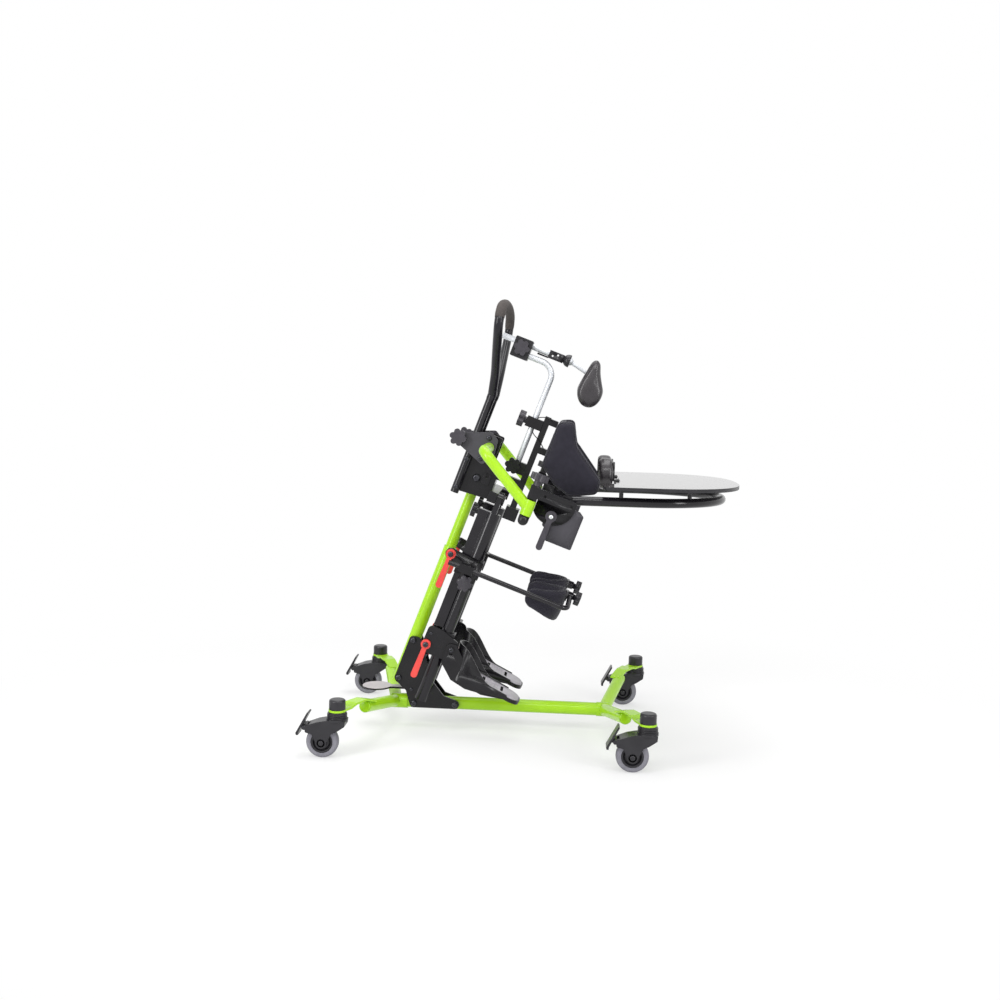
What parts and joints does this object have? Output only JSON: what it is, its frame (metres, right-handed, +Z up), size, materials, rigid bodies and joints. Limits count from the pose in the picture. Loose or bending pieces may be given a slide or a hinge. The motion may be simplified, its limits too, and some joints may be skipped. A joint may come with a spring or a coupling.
{
  "type": "standing frame",
  "caption": "Small prone and supine standing frame on four braked casters, with tray, chest pads, hip wings, head support, knee cups and foot trays.",
  "frame": {"origin": "on the floor, under the middle of the overall box", "axes": "+X the way the user faces and the tray points, +Y to the user's left, +Z up"},
  "size_m": [1.0132, 0.609, 1.0724],
  "materials": {
    "lime_powder_coat": "gloss powder coat",
    "black_powder_coat": "satin powder coat",
    "black_nylon": "satin moulded nylon",
    "red_nylon": "gloss moulded nylon",
    "grey_tread": "matt soft tread",
    "bright_rod": "satin",
    "navy_cover": "knitted cover with piping",
    "black_foam": "matt closed-cell foam",
    "moulded_pad": "satin moulded skin",
    "tray_sheet": "fine-grained satin",
    "pedal_steel": "brushed"
  },
  "bodies": {
    "base": {"base_spine": "lime_powder_coat", "rear_legs": "lime_powder_coat", "front_legs": "lime_powder_coat", "caster_caps": "black_nylon", "base_plates": "black_powder_coat", "plate_bolts": "black_powder_coat", "mast_sleeve": "lime_powder_coat"},
    "pedal": {"foot_pedal": "pedal_steel"},
    "mast": {"mast_tube": "lime_powder_coat"},
    "frame": {"head_frame": "black_powder_coat", "side_plates": "black_powder_coat", "push_handle": "black_powder_coat", "handle_grip": "black_foam", "trunk_bar": "black_powder_coat", "back_pad": "navy_cover", "hip_wings": "navy_cover"},
    "star_knobs": {"star_knobs": "black_nylon"},
    "arms": {"tray_arms": "lime_powder_coat", "tray_brackets": "black_powder_coat"},
    "tray": {"tray_tube": "black_powder_coat", "tray_board": "tray_sheet", "chest_pads": "moulded_pad"},
    "head_post": {"head_post": "bright_rod", "head_block": "black_nylon"},
    "head_rod": {"head_rod": "bright_rod"},
    "head_pad": {"head_pad": "moulded_pad"},
    "post_knob": {"post_knob": "black_nylon"},
    "block_knob": {"block_knob": "black_nylon"},
    "fork_rear_right": {"caster_fork_rear_right": "black_nylon"},
    "wheel_rear_right": {"caster_wheel_rear_right": "grey_tread"},
    "brake_rear_right": {"caster_brake_rear_right": "black_nylon"},
    "fork_rear_left": {"caster_fork_rear_left": "black_nylon"},
    "wheel_rear_left": {"caster_wheel_rear_left": "grey_tread"},
    "brake_rear_left": {"caster_brake_rear_left": "black_nylon"},
    "fork_front_right": {"caster_fork_front_right": "black_nylon"},
    "wheel_front_right": {"caster_wheel_front_right": "grey_tread"},
    "brake_front_right": {"caster_brake_front_right": "black_nylon"},
    "fork_front_left": {"caster_fork_front_left": "black_nylon"},
    "wheel_front_left": {"caster_wheel_front_left": "grey_tread"},
    "brake_front_left": {"caster_brake_front_left": "black_nylon"},
    "tray_knob_right": {"tray_knob_right": "black_nylon"},
    "tray_lever_right": {"tray_lever_right": "black_nylon"},
    "tray_knob_left": {"tray_knob_left": "black_nylon"},
    "tray_lever_left": {"tray_lever_left": "black_nylon"},
    "leg_post_right": {"leg_post_right": "black_powder_coat"},
    "knee_clamp_right": {"knee_clamp_right": "black_powder_coat"},
    "knee_lever_right": {"knee_lever_right": "red_nylon"},
    "knee_rod_right": {"knee_rod_right": "black_powder_coat"},
    "knee_pad_right": {"knee_pad_right": "navy_cover"},
    "foot_bracket_right": {"foot_bracket_right": "black_powder_coat"},
    "foot_lever_right": {"foot_lever_right": "red_nylon"},
    "foot_plate_right": {"foot_plate_right": "black_nylon"},
    "leg_post_left": {"leg_post_left": "black_powder_coat"},
    "knee_clamp_left": {"knee_clamp_left": "black_powder_coat"},
    "knee_lever_left": {"knee_lever_left": "red_nylon"},
    "knee_rod_left": {"knee_rod_left": "black_powder_coat"},
    "knee_pad_left": {"knee_pad_left": "navy_cover"},
    "foot_bracket_left": {"foot_bracket_left": "black_powder_coat"},
    "foot_lever_left": {"foot_lever_left": "red_nylon"},
    "foot_plate_left": {"foot_plate_left": "black_nylon"}
  },
  "joints": [
    {"name": "swivel_rear_right", "type": "hinge", "parent": "base", "child": "fork_rear_right", "pos_m": [-0.41345, -0.28, 0.1], "axis": [0, 0, 1], "continuous": true},
    {"name": "spin_rear_right", "type": "hinge", "parent": "fork_rear_right", "child": "wheel_rear_right", "pos_m": [-0.44645, -0.28, 0.0375], "axis": [0, 1, 0], "continuous": true},
    {"name": "brake_rear_right", "type": "hinge", "parent": "fork_rear_right", "child": "brake_rear_right", "pos_m": [-0.48645, -0.28, 0.072], "axis": [0, 1, 0], "range_deg": [-12, 0]},
    {"name": "swivel_rear_left", "type": "hinge", "parent": "base", "child": "fork_rear_left", "pos_m": [-0.41345, 0.28, 0.1], "axis": [0, 0, 1], "continuous": true},
    {"name": "spin_rear_left", "type": "hinge", "parent": "fork_rear_left", "child": "wheel_rear_left", "pos_m": [-0.44645, 0.28, 0.0375], "axis": [0, 1, 0], "continuous": true},
    {"name": "brake_rear_left", "type": "hinge", "parent": "fork_rear_left", "child": "brake_rear_left", "pos_m": [-0.48645, 0.28, 0.072], "axis": [0, 1, 0], "range_deg": [-12, 0]},
    {"name": "swivel_front_right", "type": "hinge", "parent": "base", "child": "fork_front_right", "pos_m": [0.29555, -0.28, 0.1], "axis": [0, 0, 1], "continuous": true},
    {"name": "spin_front_right", "type": "hinge", "parent": "fork_front_right", "child": "wheel_front_right", "pos_m": [0.26255, -0.28, 0.0375], "axis": [0, 1, 0], "continuous": true},
    {"name": "brake_front_right", "type": "hinge", "parent": "fork_front_right", "child": "brake_front_right", "pos_m": [0.22255, -0.28, 0.072], "axis": [0, 1, 0], "range_deg": [-12, 0]},
    {"name": "swivel_front_left", "type": "hinge", "parent": "base", "child": "fork_front_left", "pos_m": [0.29555, 0.28, 0.1], "axis": [0, 0, 1], "continuous": true},
    {"name": "spin_front_left", "type": "hinge", "parent": "fork_front_left", "child": "wheel_front_left", "pos_m": [0.26255, 0.28, 0.0375], "axis": [0, 1, 0], "continuous": true},
    {"name": "brake_front_left", "type": "hinge", "parent": "fork_front_left", "child": "brake_front_left", "pos_m": [0.22255, 0.28, 0.072], "axis": [0, 1, 0], "range_deg": [-12, 0]},
    {"name": "pedal_press", "type": "hinge", "parent": "base", "child": "pedal", "pos_m": [-0.28095, 0, 0.097], "axis": [0, 1, 0], "range_deg": [-8, 0], "stiffness_Nm_per_rad": 30, "springref_deg": 5.16},
    {"name": "mast_raise", "type": "slide", "parent": "base", "child": "mast", "axis": [0.342, 0, 0.9397], "range_m": [0, 0.15]},
    {"name": "frame_tilt", "type": "hinge", "parent": "mast", "child": "frame", "pos_m": [-0.12689, 0, 0.63758], "axis": [0, 1, 0], "range_deg": [-110, 0]},
    {"name": "star_knob_turn", "type": "hinge", "parent": "frame", "child": "star_knobs", "pos_m": [-0.17052, 0, 0.737], "axis": [0, 1, 0], "continuous": true},
    {"name": "arms_raise", "type": "hinge", "parent": "frame", "child": "arms", "pos_m": [-0.0962, 0, 0.71314], "axis": [0, 1, 0], "range_deg": [-10, 5]},
    {"name": "tray_tilt", "type": "hinge", "parent": "arms", "child": "tray", "pos_m": [0.06182, 0, 0.56837], "axis": [0, 1, 0], "range_deg": [-15, 20]},
    {"name": "tray_knob_turn_right", "type": "hinge", "parent": "arms", "child": "tray_knob_right", "pos_m": [0.02993, -0.23, 0.64595], "axis": [0.342, 0, 0.9397], "continuous": true},
    {"name": "tray_lever_swing_right", "type": "hinge", "parent": "arms", "child": "tray_lever_right", "pos_m": [0.06182, -0.23, 0.56837], "axis": [0, 1, 0], "range_deg": [-70, 0]},
    {"name": "tray_knob_turn_left", "type": "hinge", "parent": "arms", "child": "tray_knob_left", "pos_m": [0.02993, 0.23, 0.64595], "axis": [0.342, 0, 0.9397], "continuous": true},
    {"name": "tray_lever_swing_left", "type": "hinge", "parent": "arms", "child": "tray_lever_left", "pos_m": [0.06182, 0.23, 0.56837], "axis": [0, 1, 0], "range_deg": [-70, 0]},
    {"name": "head_post_raise", "type": "slide", "parent": "frame", "child": "head_post", "axis": [0.342, 0, 0.9397], "range_m": [0, 0.04]},
    {"name": "post_knob_turn", "type": "hinge", "parent": "frame", "child": "post_knob", "pos_m": [-0.02022, 0, 0.78446], "axis": [0.9397, 0, -0.342], "continuous": true},
    {"name": "block_knob_turn", "type": "hinge", "parent": "head_post", "child": "block_knob", "pos_m": [-0.02628, -0.025, 0.9564], "axis": [0, 1, 0], "continuous": true},
    {"name": "head_rod_slide", "type": "slide", "parent": "head_post", "child": "head_rod", "axis": [0.9397, 0, -0.342], "range_m": [-0.016, 0.035]},
    {"name": "head_pad_nod", "type": "hinge", "parent": "head_rod", "child": "head_pad", "pos_m": [0.08897, 0, 0.92775], "axis": [0, 1, 0], "range_deg": [-20, 20]},
    {"name": "leg_spread_right", "type": "hinge", "parent": "frame", "child": "leg_post_right", "pos_m": [-0.06727, -0.08, 0.59087], "axis": [0.9397, 0, -0.342], "range_deg": [-25, 0]},
    {"name": "knee_height_right", "type": "slide", "parent": "leg_post_right", "child": "knee_clamp_right", "axis": [0.342, 0, 0.9397], "range_m": [-0.06, 0]},
    {"name": "knee_lever_swing_right", "type": "hinge", "parent": "knee_clamp_right", "child": "knee_lever_right", "pos_m": [-0.1788, -0.105, 0.45694], "axis": [0, 1, 0], "range_deg": [0, 100]},
    {"name": "knee_depth_right", "type": "slide", "parent": "knee_clamp_right", "child": "knee_rod_right", "axis": [0.9397, 0, -0.342], "range_m": [-0.04, 0.02]},
    {"name": "knee_pad_roll_right", "type": "hinge", "parent": "knee_rod_right", "child": "knee_pad_right", "pos_m": [0.11088, -0.08, 0.36108], "axis": [0.9397, 0, -0.342], "range_deg": [-10, 10]},
    {"name": "foot_height_right", "type": "slide", "parent": "leg_post_right", "child": "foot_bracket_right", "axis": [0.342, 0, 0.9397], "range_m": [-0.05, 0.04]},
    {"name": "foot_lever_swing_right", "type": "hinge", "parent": "foot_bracket_right", "child": "foot_lever_right", "pos_m": [-0.23504, -0.105, 0.23372], "axis": [0, 1, 0], "range_deg": [0, 100]},
    {"name": "ankle_tilt_right", "type": "hinge", "parent": "foot_bracket_right", "child": "foot_plate_right", "pos_m": [-0.17289, -0.105, 0.22174], "axis": [0, 1, 0], "range_deg": [-12, 12]},
    {"name": "leg_spread_left", "type": "hinge", "parent": "frame", "child": "leg_post_left", "pos_m": [-0.06727, 0.08, 0.59087], "axis": [0.9397, 0, -0.342], "range_deg": [0, 25]},
    {"name": "knee_height_left", "type": "slide", "parent": "leg_post_left", "child": "knee_clamp_left", "axis": [0.342, 0, 0.9397], "range_m": [-0.06, 0]},
    {"name": "knee_lever_swing_left", "type": "hinge", "parent": "knee_clamp_left", "child": "knee_lever_left", "pos_m": [-0.1788, 0.105, 0.45694], "axis": [0, 1, 0], "range_deg": [0, 100]},
    {"name": "knee_depth_left", "type": "slide", "parent": "knee_clamp_left", "child": "knee_rod_left", "axis": [0.9397, 0, -0.342], "range_m": [-0.04, 0.02]},
    {"name": "knee_pad_roll_left", "type": "hinge", "parent": "knee_rod_left", "child": "knee_pad_left", "pos_m": [0.11088, 0.08, 0.36108], "axis": [0.9397, 0, -0.342], "range_deg": [-10, 10]},
    {"name": "foot_height_left", "type": "slide", "parent": "leg_post_left", "child": "foot_bracket_left", "axis": [0.342, 0, 0.9397], "range_m": [-0.05, 0.04]},
    {"name": "foot_lever_swing_left", "type": "hinge", "parent": "foot_bracket_left", "child": "foot_lever_left", "pos_m": [-0.23504, 0.105, 0.23372], "axis": [0, 1, 0], "range_deg": [0, 100]},
    {"name": "ankle_tilt_left", "type": "hinge", "parent": "foot_bracket_left", "child": "foot_plate_left", "pos_m": [-0.17289, 0.105, 0.22174], "axis": [0, 1, 0], "range_deg": [-12, 12]}
  ]
}
